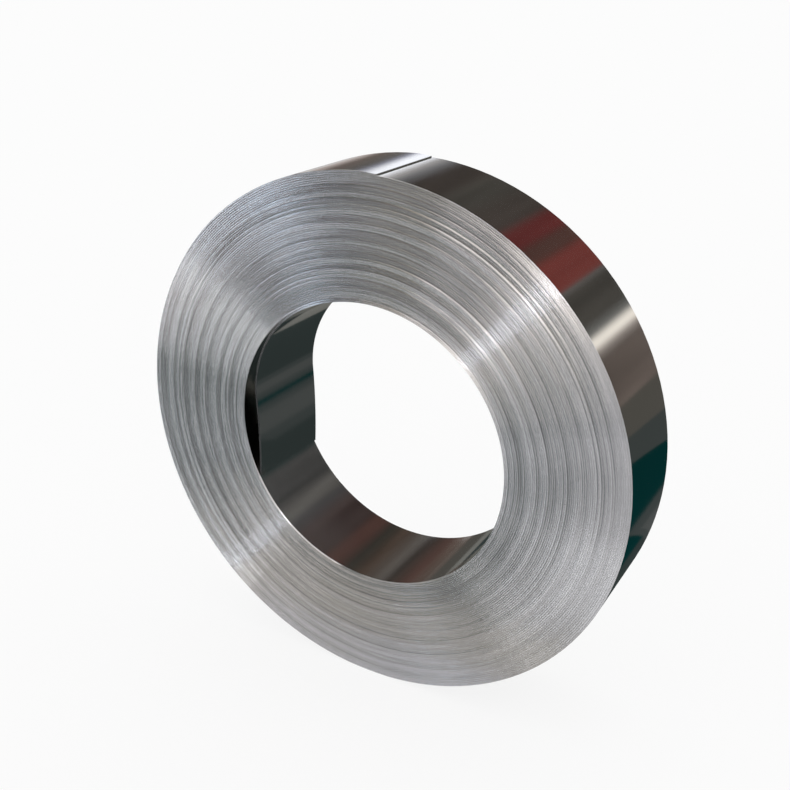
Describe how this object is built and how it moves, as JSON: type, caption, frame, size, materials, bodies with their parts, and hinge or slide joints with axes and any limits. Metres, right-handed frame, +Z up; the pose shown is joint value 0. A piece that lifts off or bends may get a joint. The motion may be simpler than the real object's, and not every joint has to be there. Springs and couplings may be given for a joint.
{
  "type": "steel strip coil",
  "caption": "Narrow slit coil of bright steel strip, wound tight round an open bore and standing on its rim, with its first turn sprung off the bore wall.",
  "frame": {"origin": "on the floor, under the middle of the coil", "axes": "+Y along the bore, from the end seen in the picture to the far end; +X to the right as seen from that end; +Z up"},
  "size_m": [0.546, 0.105, 0.547],
  "materials": {
    "strip": "bright rolled faces, lighter and rougher slit edges"
  },
  "bodies": {
    "root": {"strip_coil": "strip"}
  },
  "joints": []
}
